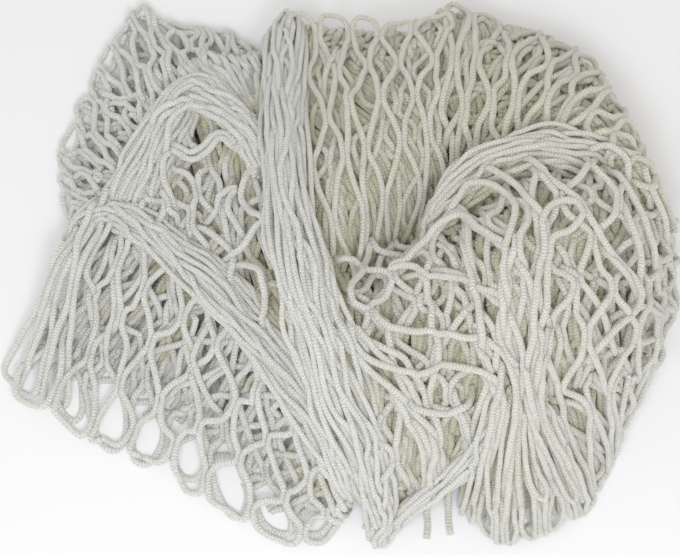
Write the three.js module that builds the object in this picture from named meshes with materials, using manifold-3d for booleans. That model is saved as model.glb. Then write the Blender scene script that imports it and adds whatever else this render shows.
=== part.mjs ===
// A white knotless safety net, gathered up and dropped in a loose heap on a flat surface.
// The net is one panel of knitted cord. Its gathered cords lie as long bands over the heap, its spread
// meshes lie as flaps and lobes between them, and its edge meshes end in a row of round loops.
// Millimetres, +Z up. The origin is on the flat underside, below the middle of the heap.

import * as THREE from "three";
import { mergeVertices } from "three/addons/utils/BufferGeometryUtils.js";
import Module from "manifold-3d";

const wasm = await Module();
wasm.setup();

// ---- Driving dimensions -------------------------------------------------------------------------

const cord = 4.5; // diameter of the knitted cord
const cordRelief = 0.8 * cord; // how far a cord stands up from the dip beside it
const loopReach = 1.6 * cord; // how far an edge loop stands out past the dip beside it
const mesh = { length: 25, width: 13, mergedEnd: 5 }; // opening of a mesh that lies spread out
const wallBulge = 0.02; // share by which a spread's side swells between its edge and the surface
const overcut = 5; // how far solids run on below the surface before they are cut off flat
const core = { halfX: 150, halfY: 118, height: 44, x: 14, y: -18 }; // tangled middle below everything

// Bands of gathered cords. Each row is a section of the band: the middle of its top, and its width.
// "cords" is how many lie side by side on it.
const bands = {
  leftArch: {
    thick: 17,
    cords: 4,
    rows: [
      { x: -196, y: -64, z: 10, width: 16 },
      { x: -178, y: -25, z: 17, width: 16 },
      { x: -162, y: 13, z: 28, width: 17 },
      { x: -144, y: 26, z: 38, width: 18 },
      { x: -114, y: 8, z: 50, width: 20 },
      { x: -82, y: -24, z: 62, width: 25 },
      { x: -52, y: -59, z: 72, width: 29 },
      { x: -23, y: -96, z: 74, width: 31 },
      { x: 3, y: -131, z: 58, width: 32 },
      { x: 23, y: -164, z: 24, width: 26 },
    ],
  },
  innerArch: {
    thick: 17,
    cords: 4,
    rows: [
      { x: -134, y: 14, z: 38, width: 35 },
      { x: -123, y: 40, z: 48, width: 35 },
      { x: -110, y: 71, z: 54, width: 31 },
      { x: -94, y: 95, z: 60, width: 21 },
      { x: -78, y: 90, z: 66, width: 13 },
      { x: -61, y: 71, z: 74, width: 12 },
      { x: -44, y: 39, z: 84, width: 14 },
    ],
  },
  middleBand: {
    thick: 36,
    cords: 5,
    rows: [
      { x: -33, y: 168, z: 20, width: 24 },
      { x: -33, y: 158, z: 42, width: 28 },
      { x: -34, y: 110, z: 70, width: 29 },
      { x: -33, y: 50, z: 96, width: 28 },
      { x: -30, y: -3, z: 112, width: 30 },
      { x: -20, y: -46, z: 120, width: 35 },
      { x: -10, y: -83, z: 116, width: 37 },
      { x: 3, y: -113, z: 98, width: 38 },
      { x: 16, y: -137, z: 68, width: 36 },
      { x: 23, y: -159, z: 32, width: 28 },
      { x: 23, y: -178, z: 9, width: 12 },
    ],
  },
  frontArc: {
    thick: 20,
    cords: 3,
    rows: [
      { x: 21, y: -169, z: 16, width: 20 },
      { x: 40, y: -160, z: 28, width: 15 },
      { x: 62, y: -154, z: 46, width: 15 },
      { x: 76, y: -142, z: 62, width: 18 },
      { x: 84, y: -125, z: 76, width: 23 },
      { x: 94, y: -104, z: 90, width: 24 },
    ],
  },
};

// Spread meshes. Each row is one way across the cloth, from the fold that it leaves to the edge or the
// valley that it reaches, and how far it rises above a straight line between the two. "cords" is how
// many stand up along it, "looped" says that it ends in the panel's edge loops, "foot" is how wide it
// is on the surface against its top, and "openMeshes" are the loops with a clear mesh behind them.
const spreads = {
  frontLeftFlap: {
    cords: 11,
    looped: true,
    foot: 0.95,
    openMeshes: [1, 2, 3, 4, 5, 6, 8, 9],
    rows: [
      { fromX: -156, fromY: 20, fromZ: 30, toX: -197, toY: -84, toZ: 9, rise: -4 },
      { fromX: -133, fromY: 14, fromZ: 42, toX: -168, toY: -99, toZ: 9, rise: -6 },
      { fromX: -107, fromY: -11, fromZ: 50, toX: -136, toY: -114, toZ: 9, rise: -8 },
      { fromX: -79, fromY: -42, fromZ: 56, toX: -104, toY: -131, toZ: 9, rise: -8 },
      { fromX: -49, fromY: -74, fromZ: 58, toX: -68, toY: -154, toZ: 9, rise: -8 },
      { fromX: -20, fromY: -111, fromZ: 52, toX: -29, toY: -172, toZ: 9, rise: -6 },
      { fromX: 7, fromY: -151, fromZ: 34, toX: -1, toY: -165, toZ: 9, rise: -2 },
    ],
  },
  backLeftFlap: {
    cords: 11,
    looped: true,
    foot: 0.95,
    openMeshes: [3, 4, 5, 6],
    rows: [
      { fromX: -152, fromY: 24, fromZ: 30, toX: -174, toY: 32, toZ: 9, rise: 0 },
      { fromX: -147, fromY: 37, fromZ: 40, toX: -176, toY: 67, toZ: 9, rise: -4 },
      { fromX: -136, fromY: 54, fromZ: 46, toX: -172, toY: 106, toZ: 9, rise: -6 },
      { fromX: -123, fromY: 79, fromZ: 50, toX: -155, toY: 143, toZ: 9, rise: -6 },
      { fromX: -108, fromY: 101, fromZ: 54, toX: -136, toY: 180, toZ: 10, rise: -4 },
      { fromX: -86, fromY: 107, fromZ: 56, toX: -101, toY: 167, toZ: 12, rise: -2 },
      { fromX: -64, fromY: 89, fromZ: 64, toX: -73, toY: 161, toZ: 14, rise: 0 },
      { fromX: -47, fromY: 68, fromZ: 72, toX: -53, toY: 145, toZ: 22, rise: 2 },
      { fromX: -30, fromY: 60, fromZ: 76, toX: -30, toY: 150, toZ: 28, rise: 2 },
    ],
  },
  curtain: {
    cords: 5,
    looped: true,
    foot: 1.03,
    rows: [
      { fromX: -28, fromY: -30, fromZ: 92, toX: -38, toY: 163, toZ: 30, rise: 10 },
      { fromX: -1, fromY: -22, fromZ: 92, toX: -16, toY: 164, toZ: 34, rise: 18 },
      { fromX: 13, fromY: -14, fromZ: 80, toX: 3, toY: 162, toZ: 34, rise: 24 },
      { fromX: 28, fromY: -1, fromZ: 68, toX: 26, toY: 159, toZ: 34, rise: 32 },
      { fromX: 43, fromY: 7, fromZ: 60, toX: 46, toY: 159, toZ: 34, rise: 36 },
      { fromX: 57, fromY: 14, fromZ: 58, toX: 70, toY: 162, toZ: 36, rise: 36 },
    ],
  },
  backLobe: {
    cords: 8,
    looped: true,
    foot: 1.03,
    rows: [
      { fromX: 56, fromY: 17, fromZ: 58, toX: 66, toY: 165, toZ: 38, rise: 34 },
      { fromX: 77, fromY: 25, fromZ: 68, toX: 102, toY: 155, toZ: 40, rise: 34 },
      { fromX: 101, fromY: 35, fromZ: 76, toX: 139, toY: 136, toZ: 42, rise: 34 },
      { fromX: 123, fromY: 34, fromZ: 86, toX: 168, toY: 102, toZ: 44, rise: 30 },
      { fromX: 146, fromY: 27, fromZ: 92, toX: 189, toY: 55, toZ: 44, rise: 26 },
      { fromX: 169, fromY: 12, fromZ: 90, toX: 201, toY: 12, toZ: 42, rise: 22 },
    ],
  },
  frontLobe: {
    cords: 7,
    looped: false,
    foot: 0.96,
    rows: [
      { fromX: 59, fromY: -3, fromZ: 92, toX: 88, toY: -100, toZ: 96, rise: 16 },
      { fromX: 78, fromY: 10, fromZ: 100, toX: 95, toY: -103, toZ: 94, rise: 26 },
      { fromX: 104, fromY: 24, fromZ: 108, toX: 106, toY: -107, toZ: 92, rise: 30 },
      { fromX: 130, fromY: 29, fromZ: 108, toX: 123, toY: -106, toZ: 90, rise: 30 },
      { fromX: 157, fromY: 29, fromZ: 98, toX: 148, toY: -101, toZ: 74, rise: 32 },
      { fromX: 181, fromY: 24, fromZ: 74, toX: 175, toY: -85, toZ: 46, rise: 30 },
      { fromX: 200, fromY: 2, fromZ: 44, toX: 191, toY: -55, toZ: 40, rise: 10 },
    ],
  },
  centreLobe: {
    cords: 6,
    looped: false,
    foot: 0.98,
    rows: [
      { fromX: 0, fromY: -38, fromZ: 100, toX: 22, toY: -152, toZ: 40, rise: 25 },
      { fromX: 18, fromY: -26, fromZ: 88, toX: 33, toY: -156, toZ: 36, rise: 30 },
      { fromX: 38, fromY: -16, fromZ: 86, toX: 49, toY: -153, toZ: 38, rise: 34 },
      { fromX: 53, fromY: -8, fromZ: 88, toX: 64, toY: -149, toZ: 44, rise: 34 },
      { fromX: 66, fromY: -21, fromZ: 98, toX: 78, toY: -137, toZ: 58, rise: 26 },
      { fromX: 78, fromY: -62, fromZ: 108, toX: 87, toY: -119, toZ: 84, rise: 8 },
    ],
  },
  frontTassel: {
    cords: 6,
    looped: true,
    foot: 0.98,
    rows: [
      { fromX: 85, fromY: -105, fromZ: 88, toX: 74, toY: -159, toZ: 9, rise: 6 },
      { fromX: 88, fromY: -102, fromZ: 90, toX: 83, toY: -168, toZ: 9, rise: 6 },
      { fromX: 93, fromY: -101, fromZ: 92, toX: 95, toY: -176, toZ: 9, rise: 6 },
      { fromX: 97, fromY: -101, fromZ: 92, toX: 106, toY: -176, toZ: 9, rise: 6 },
      { fromX: 100, fromY: -103, fromZ: 92, toX: 120, toY: -173, toZ: 9, rise: 6 },
      { fromX: 105, fromY: -104, fromZ: 90, toX: 136, toY: -164, toZ: 9, rise: 6 },
      { fromX: 110, fromY: -106, fromZ: 88, toX: 147, toY: -153, toZ: 9, rise: 6 },
    ],
  },
  rightSkirt: {
    cords: 5,
    looped: true,
    foot: 0.96,
    rows: [
      { fromX: 109, fromY: -106, fromZ: 88, toX: 142, toY: -157, toZ: 9, rise: 4 },
      { fromX: 127, fromY: -100, fromZ: 82, toX: 155, toY: -142, toZ: 9, rise: 6 },
      { fromX: 149, fromY: -90, fromZ: 70, toX: 165, toY: -125, toZ: 9, rise: 8 },
      { fromX: 167, fromY: -76, fromZ: 56, toX: 172, toY: -107, toZ: 9, rise: 8 },
      { fromX: 182, fromY: -56, fromZ: 44, toX: 182, toY: -85, toZ: 10, rise: 6 },
      { fromX: 192, fromY: -35, fromZ: 40, toX: 191, toY: -57, toZ: 12, rise: 4 },
    ],
  },
  innerLeft: {
    cords: 5,
    looped: false,
    foot: 1,
    rows: [
      { fromX: -140, fromY: 44, fromZ: 38, toX: -134, toY: 4, toZ: 40, rise: -4 },
      { fromX: -117, fromY: 75, fromZ: 46, toX: -108, toY: -2, toZ: 52, rise: -4 },
      { fromX: -86, fromY: 94, fromZ: 56, toX: -73, toY: -38, toZ: 62, rise: -6 },
      { fromX: -64, fromY: 78, fromZ: 66, toX: -45, toY: -73, toZ: 72, rise: -6 },
      { fromX: -43, fromY: 43, fromZ: 82, toX: -10, toY: -108, toZ: 84, rise: -2 },
    ],
  },
};

// Two cut cord ends of the panel that hang out below the front arc and lie on the surface.
const cordEnds = [
  { x: 52, fromY: -130, toY: -176 },
  { x: 64, fromY: -130, toY: -174 },
];

// ---- Shared geometry ----------------------------------------------------------------------------

// A value of every named column, at a share of the way through a table's rows, on a smooth curve.
function rowAt(rows, share) {
  const last = rows.length - 1;
  const at = Math.min(Math.max(share, 0), 1) * last;
  const i = Math.min(Math.floor(at), last - 1);
  const f = at - i;
  const row = {};
  for (const name of Object.keys(rows[0])) {
    const b = rows[i][name];
    const c = rows[i + 1][name];
    const a = i > 0 ? rows[i - 1][name] : 2 * b - c;
    const d = i + 2 <= last ? rows[i + 2][name] : 2 * c - b;
    row[name] = 0.5 * (2 * b + (c - a) * f + (2 * a - 5 * b + 4 * c - d) * f * f
      + (3 * b - a - 3 * c + d) * f * f * f);
  }
  return row;
}

// A closed three.js geometry as a manifold-3d solid, turned right side out if its table runs the other way.
function solidOf(geometry) {
  const bare = geometry.clone();
  bare.deleteAttribute("normal");
  bare.deleteAttribute("uv");
  const merged = mergeVertices(bare, 1e-3);
  const triVerts = new Uint32Array(merged.index.array);
  const vertProperties = merged.attributes.position.array;
  const made = new wasm.Manifold(new wasm.Mesh({ numProp: 3, vertProperties, triVerts }));
  if (made.volume() > 0) return made;
  for (let i = 0; i < triVerts.length; i += 3) {
    [triVerts[i + 1], triVerts[i + 2]] = [triVerts[i + 2], triVerts[i + 1]];
  }
  return new wasm.Manifold(new wasm.Mesh({ numProp: 3, vertProperties, triVerts }));
}

// Moves every vertex of a geometry to the point that a function gives for it.
function reshape(geometry, place) {
  const position = geometry.attributes.position;
  for (let i = 0; i < position.count; i++) {
    const to = place(position.getX(i), position.getY(i), position.getZ(i));
    position.setXYZ(i, to.x, to.y, to.z);
  }
  return geometry;
}

// ---- Spread meshes ------------------------------------------------------------------------------

// 1 on the line of each cord and 0 in the dip between two, at share u of the way across a spread.
function cordShape(spread, u) {
  return Math.abs(Math.sin(Math.PI * spread.cords * u));
}

// A point of a spread's upper side: share u across its cords, and t along them from fold to edge.
function spreadPoint(spread, u, t) {
  const row = rowAt(spread.rows, u);
  const point = new THREE.Vector3(row.fromX, row.fromY, row.fromZ);
  const to = new THREE.Vector3(row.toX, row.toY, row.toZ);
  const along = to.clone().sub(point).setZ(0).normalize();
  const dip = 1 - cordShape(spread, u);
  point.lerp(to, t);
  point.z += row.rise * 4 * t * (1 - t) - cordRelief * dip * Math.min(1, 3 * t);
  if (spread.looped) point.addScaledVector(along, -loopReach * dip * t ** 6);
  return point;
}

// The spread as a solid that fills the heap down past the surface, with sides that swell a little.
function spreadSolid(spread) {
  const middle = spreadPoint(spread, 0.5, 0.5);
  const box = new THREE.BoxGeometry(1, 1, 1, 3 * spread.cords, 5, 3);
  return solidOf(reshape(box, (a, b, c) => {
    const t = b + 0.5;
    const height = c + 0.5;
    const point = spreadPoint(spread, a + 0.5, t);
    const swell = (spread.foot - 1) * (1 - height) + wallBulge * 4 * height * (1 - height);
    const top = point.z;
    point.addScaledVector(point.clone().sub(middle), swell * t);
    return point.setZ(height * (top + overcut) - overcut);
  }));
}

// An open mesh just behind an edge loop, as an upright six-sided plug to cut away. The two long sides
// are open cord, and the two short ends are where neighbouring cords run together.
function meshPlug(spread, loop) {
  const u = (loop + 0.5) / spread.cords;
  const tip = spreadPoint(spread, u, 1);
  const along = tip.clone().sub(spreadPoint(spread, u, 0.5)).setZ(0).normalize();
  const middle = tip.addScaledVector(along, -1.5 * cord - mesh.length / 2);
  const end = mesh.length / 2;
  const side = mesh.length / 2 - mesh.mergedEnd;
  const outline = new THREE.Shape([
    new THREE.Vector2(end, 0),
    new THREE.Vector2(side, mesh.width / 2),
    new THREE.Vector2(-side, mesh.width / 2),
    new THREE.Vector2(-end, 0),
    new THREE.Vector2(-side, -mesh.width / 2),
    new THREE.Vector2(side, -mesh.width / 2),
  ]);
  const plug = new THREE.ExtrudeGeometry(outline, { depth: 2 * core.height, bevelEnabled: false });
  plug.rotateZ(Math.atan2(along.y, along.x));
  plug.translate(middle.x, middle.y, -core.height);
  return solidOf(plug);
}

// ---- Bands of gathered cords --------------------------------------------------------------------

// A band as a swept oval, ribbed by the cords that lie side by side in it and drawn in at its ends.
function bandSolid(band) {
  const sides = 4 * band.cords;
  const tube = new THREE.CylinderGeometry(1, 1, 1, sides, 2 * band.rows.length);
  return solidOf(reshape(tube, (a, b, c) => {
    const share = b + 0.5;
    const row = rowAt(band.rows, share);
    const before = rowAt(band.rows, share - 0.01);
    const after = rowAt(band.rows, share + 0.01);
    const side = new THREE.Vector3(before.y - after.y, after.x - before.x, 0).normalize();
    const rib = 0.95 + 0.05 * Math.cos(2 * band.cords * Math.atan2(c, a));
    const drawnIn = Math.min(1, 0.6 + 6 * Math.min(share, 1 - share));
    const thick = Math.min(band.thick, row.width) * drawnIn;
    const point = new THREE.Vector3(row.x, row.y, row.z - thick / 2);
    point.addScaledVector(side, a * rib * drawnIn * row.width / 2);
    point.z += c * rib * thick / 2;
    return point;
  }));
}

// ---- The whole panel ----------------------------------------------------------------------------

// The tangled middle of the heap, a low mound that the bands and spreads lie on.
function heapCore() {
  const mound = new THREE.SphereGeometry(1, 20, 8);
  mound.rotateX(Math.PI / 2);
  mound.scale(core.halfX, core.halfY, core.height);
  mound.translate(core.x, core.y, 0);
  return solidOf(mound);
}

// A cut cord end, lying on the surface with its inner end inside the heap.
function cordEnd(end) {
  const path = new THREE.LineCurve3(
    new THREE.Vector3(end.x, end.fromY, cord),
    new THREE.Vector3(end.x, end.toY, cord / 2),
  );
  const section = new THREE.Shape();
  section.absarc(0, 0, cord / 2, 0, 2 * Math.PI);
  return solidOf(new THREE.ExtrudeGeometry(section, { steps: 2, curveSegments: 4, extrudePath: path }));
}

// Everything below the surface that the heap lies on.
function belowSurface() {
  const block = new THREE.BoxGeometry(600, 600, 200);
  block.translate(0, 0, -100);
  return solidOf(block);
}

function nettingPanel() {
  let panel = heapCore();
  for (const spread of Object.values(spreads)) panel = panel.add(spreadSolid(spread));
  for (const band of Object.values(bands)) panel = panel.add(bandSolid(band));
  for (const end of cordEnds) panel = panel.add(cordEnd(end));
  for (const spread of Object.values(spreads)) {
    for (const loop of spread.openMeshes ?? []) panel = panel.subtract(meshPlug(spread, loop));
  }
  panel = panel.subtract(belowSurface());
  // The hollows that folds close off inside the heap hold tangled cord, so only the outer shell is kept.
  return panel.decompose().reduce((a, b) => (a.volume() > b.volume() ? a : b));
}

const made = nettingPanel().getMesh();
const geometry = new THREE.BufferGeometry();
geometry.setAttribute("position", new THREE.BufferAttribute(made.vertProperties, 3));
geometry.setIndex(new THREE.BufferAttribute(made.triVerts, 1));
geometry.computeVertexNormals();

const whitePolyester = new THREE.MeshStandardMaterial({ color: 0xe4e4dc, roughness: 0.85, metalness: 0 });
const panelMesh = new THREE.Mesh(geometry, whitePolyester);
panelMesh.name = "netting_panel";

const safetyNet = new THREE.Group();
safetyNet.name = "safety_net_heap";
safetyNet.add(panelMesh);

export default safetyNet;
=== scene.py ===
# A white knotless safety net, crumpled into a loose heap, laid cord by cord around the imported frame.
# Its folds are the solid's own. Lengths are in millimetres until a mesh is made, which is in metres.

import math

import bpy
import numpy as np
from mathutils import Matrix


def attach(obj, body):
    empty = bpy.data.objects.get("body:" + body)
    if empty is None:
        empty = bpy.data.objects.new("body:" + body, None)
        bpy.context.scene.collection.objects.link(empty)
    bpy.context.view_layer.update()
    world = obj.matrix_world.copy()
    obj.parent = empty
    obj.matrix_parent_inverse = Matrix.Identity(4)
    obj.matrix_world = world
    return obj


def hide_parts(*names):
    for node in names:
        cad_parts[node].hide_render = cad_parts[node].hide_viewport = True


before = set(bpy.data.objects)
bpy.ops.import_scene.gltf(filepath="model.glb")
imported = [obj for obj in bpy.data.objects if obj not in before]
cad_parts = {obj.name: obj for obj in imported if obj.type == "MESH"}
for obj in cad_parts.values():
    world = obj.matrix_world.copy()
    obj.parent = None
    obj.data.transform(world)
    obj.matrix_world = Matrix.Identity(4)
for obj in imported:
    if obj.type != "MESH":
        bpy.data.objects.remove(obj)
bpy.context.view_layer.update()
print("frame loaded")

mm = 0.001

cord = {
    "diameter": 4.1,
    "flatness": 0.84,  # thickness of the knitted cord against its width
    "bar": 27.0,  # cord between one joining and the next
    "joined": 6.5,  # length over which two neighbours run together
    "joinGap": 2.6,  # between the middles of two cords where they run together
    "step": 3.0,  # distance between the rings of a tube
    "sides": 8,
    "twist": 0.7,  # most that a cord turns about its own line, in radians
    "twistRate": (18, 40),  # length of cord for each radian of the wave in which it turns
    "tubeSeed": 900,
}


def unit(v):
    return v / np.maximum(np.linalg.norm(v, axis=-1, keepdims=True), 1e-9)


# the length of each line of points: the sum of its steps
def runLength(lines):
    return np.linalg.norm(np.diff(lines, axis=-2), axis=-1).sum(-1)


# falls from 1 at 0 to 0 at 1, along half a wave of a cosine
def fade(share):
    return 0.5 + 0.5 * np.cos(np.pi * np.clip(share, 0, 1))


# each value's mean or highest among its four neighbours and itself
def overFive(values, kind):
    padded = np.pad(values, 2, "edge")
    return kind([padded[k:k + len(values)] for k in range(5)], axis=0)


# The table's columns at shares of the way through its rows: a cubic between each two rows, whose slope
# at a row is half the step from the row before it to the row after it.
def smoothRows(rows, share):
    table = np.asarray(rows, float)
    last = len(table) - 1
    at = np.clip(share, 0, 1) * last
    i = np.minimum(at.astype(int), last - 1)
    f = (at - i)[..., None]
    b, c = table[i], table[i + 1]
    a = np.where((i > 0)[..., None], table[np.maximum(i - 1, 0)], 2 * b - c)
    d = np.where((i + 2 <= last)[..., None], table[np.minimum(i + 2, last)], 2 * c - b)
    return 0.5 * (2 * b + (c - a) * f + (2 * a - 5 * b + 4 * c - d) * f ** 2
                  + (3 * b - a - 3 * c + d) * f ** 3)


# A smooth noise of about unit height: a sum of seeded sine waves through space, each with its own
# direction and a length near the one asked for, over the root of their number.
def smoothNoise(points, seed, wavelength, waves=5):
    draw = np.random.default_rng(seed)
    total = np.zeros(points.shape)
    for _ in range(waves):
        wave = unit(draw.normal(size=(3, 3))) * 2 * np.pi / (wavelength * draw.uniform(0.7, 1.4))
        total += np.sin(points @ wave.T + draw.uniform(0, 2 * np.pi, 3))
    return total / np.sqrt(waves)


# netting that hangs down past the edge of its spread
hang = {
    "bend": 12,  # length over which it turns down
    "outward": 3,  # how far out it comes as it turns
}


# A point of a spread, share u across it and t from its fold at 0 to its edge at 1: on the straight line
# between them, raised by a parabola. It runs on straight past its edge by the brim. Then it turns down
# like the wall of the heap, by what is left of its length times an exponential rise, to the floor.
def spreadPoint(rows, u, t, brim=0.0):
    row = smoothRows(rows, u)
    start, end, rise = row[..., 0:3], row[..., 3:6], row[..., 6]
    length = np.linalg.norm(end - start, axis=-1)
    inside = np.minimum(t, 1 + brim / length)
    point = start + (end - start) * inside[..., None]
    point[..., 2] += rise * 4 * np.minimum(inside, 1) * (1 - np.minimum(inside, 1))
    table = np.asarray(rows, float)
    span = np.linalg.norm(table[:, 3:6] - table[:, 0:3], axis=1).mean()
    past = np.maximum(t - 1 - brim / length, 0) * span
    outward = (end - start) * np.array([1, 1, 0])
    turn = 1 - np.exp(-past / hang["bend"])
    point += unit(outward) * (hang["outward"] * turn)[..., None]
    point[..., 2] = np.maximum(point[..., 2] - past * turn, cord["diameter"] / 2)
    return point


pieces = {}
laid = {"points": [], "normals": [], "linked": [], "girth": [], "joined": [], "piece": [], "single": [],
        "forms": []}


# Adds cords, given as an array of cords by points, to what is laid. A cord is broken where keep is
# False, and held is True where it runs together with the next cord. When looped, cords 0 and 1, 2 and 3
# and so on are the two legs of one loop, so they become one cord that comes back.
def lay(piece, points, normals=(0, 0, 1.0), keep=None, held=None, looped=False, girth=1.0, single=False):
    count, steps = points.shape[:2]
    normals = np.broadcast_to(normals, points.shape)
    keep = np.ones((count, steps), bool) if keep is None else keep
    held = np.zeros((count, steps), bool) if held is None else held
    if looped:
        points, normals, keep, held = (np.concatenate([v[0::2], v[1::2, ::-1]], 1)
                                       for v in (points, normals, keep, held))
    index = np.full(keep.shape, -1)
    index[keep] = sum(len(p) for p in laid["points"]) + np.arange(keep.sum())
    linked = np.zeros(keep.shape, bool)
    linked[:, :-1] = keep[:, :-1] & keep[:, 1:]
    laid["points"].append(points[keep])
    laid["normals"].append(normals[keep])
    laid["linked"].append(linked[keep])
    laid["girth"].append(np.full(keep.sum(), girth))
    laid["single"].append(np.full(keep.sum(), single))
    laid["piece"].append(np.full(keep.sum(), list(pieces).index(piece)))
    if looped:
        index, held = (np.stack([v[:, :steps], v[:, :steps - 1:-1]], 1).reshape(count, steps)
                       for v in (index, held))
    both = held[:-1] & (index[:-1] >= 0) & (index[1:] >= 0)
    laid["joined"].append(np.stack([index[:-1][both], index[1:][both]], 1))


# keeps only the stretches of a cord that are long enough to show as cord, in points
def longRuns(keep, least=7):
    begins = keep & ~np.concatenate([np.zeros((len(keep), 1), bool), keep[:, :-1]], 1)
    number = np.cumsum(begins.ravel()).reshape(keep.shape)
    size = np.bincount(number[keep], minlength=number.max() + 1)
    return keep & (size[number] >= least)


netting = {
    "leastPitch": 0.55,  # least way along from one joining to the next, as a share of a bar
    "leastSteps": 5,  # between one joining and the next
    "loopInside": 7,  # part of a loop's reach that lies before the edge
    "loopSteps": 1.2,  # steps in half a loop, for each step's length of its reach and width
    "startFade": 22,  # over which a layer comes up from below its fold
    "endFade": 18,  # over which a layer without loops goes down at its edge
    "rimRise": (0.65, 0.3, 0.75),  # where a rim comes up, over what share of the way, and by what share
    "curlRise": (0.75, 0.2),  # where a curl starts, and over what share of the way it is whole
    "sideFall": 14,  # most that a cord may hang down past a side of its spread
    "sideSlack": 0.1,  # most that it may lie past it, as a share of the width
    "bunching": 0.8,  # how close cords in groups draw together, of 1
    "ownLength": 60,  # of each layer's own waves
    "heapWave": (2.0, 90, 7),  # height, length and seed of the waves that all layers share
    "fineWave": (0.35, 13),  # height and length of each layer's smallest waves
}


# Where joinings come along a cord: how many meshes there are, each point's place counted in meshes, the
# mesh it is in, and its swing from 0 at one joining to 1 at the next. A mesh is as long as the third side
# of a triangle of a bar and the mesh's width, plus half of what is joined.
def joiningsAlong(length, spacing, bar, ease):
    swingWidth = max(spacing - cord["joinGap"], 0)
    leastPitch = netting["leastPitch"] * bar
    pitch = math.sqrt(max(bar ** 2 - swingWidth ** 2, leastPitch ** 2)) + 0.5 * cord["joined"]
    meshes = max(int(round(length / pitch)), 1)
    steps = max(int(round(length / meshes / cord["step"])), netting["leastSteps"])
    along = np.arange(meshes * steps + 1) / steps
    mesh = np.minimum(along.astype(int), meshes - 1)
    flat = 0.5 * cord["joined"] / (length / meshes)
    swing = np.clip((along - mesh - flat) / (1 - 2 * flat), 0, 1)
    swing = swing + ease * (0.5 - 0.5 * np.cos(np.pi * swing) - swing)
    return meshes, along, mesh, swing


# Adds half a loop to the end of each cord: a quarter of an ellipse, out by reach and across to the apex
# that it shares with a neighbour. What moves the apex comes in with the power 1.5 of the way there.
def addHalfLoops(u, t, shift, apex, apexMove, reach, steps):
    grow = (np.arange(steps) + 1) / (steps + 0.5)
    angle = grow * math.pi / 2
    uEnd, tEnd, moveEnd = u[:, -1:], t[:, -1:], shift[:, -1:]
    u = np.concatenate([u, uEnd + (apex - uEnd) * (1 - np.cos(angle))], 1)
    t = np.concatenate([t, tEnd + reach * np.sin(angle)], 1)
    shift = np.concatenate([shift, moveEnd + (apexMove - moveEnd) * grow[:, None] ** 1.5], 1)
    return u, t, shift


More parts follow.
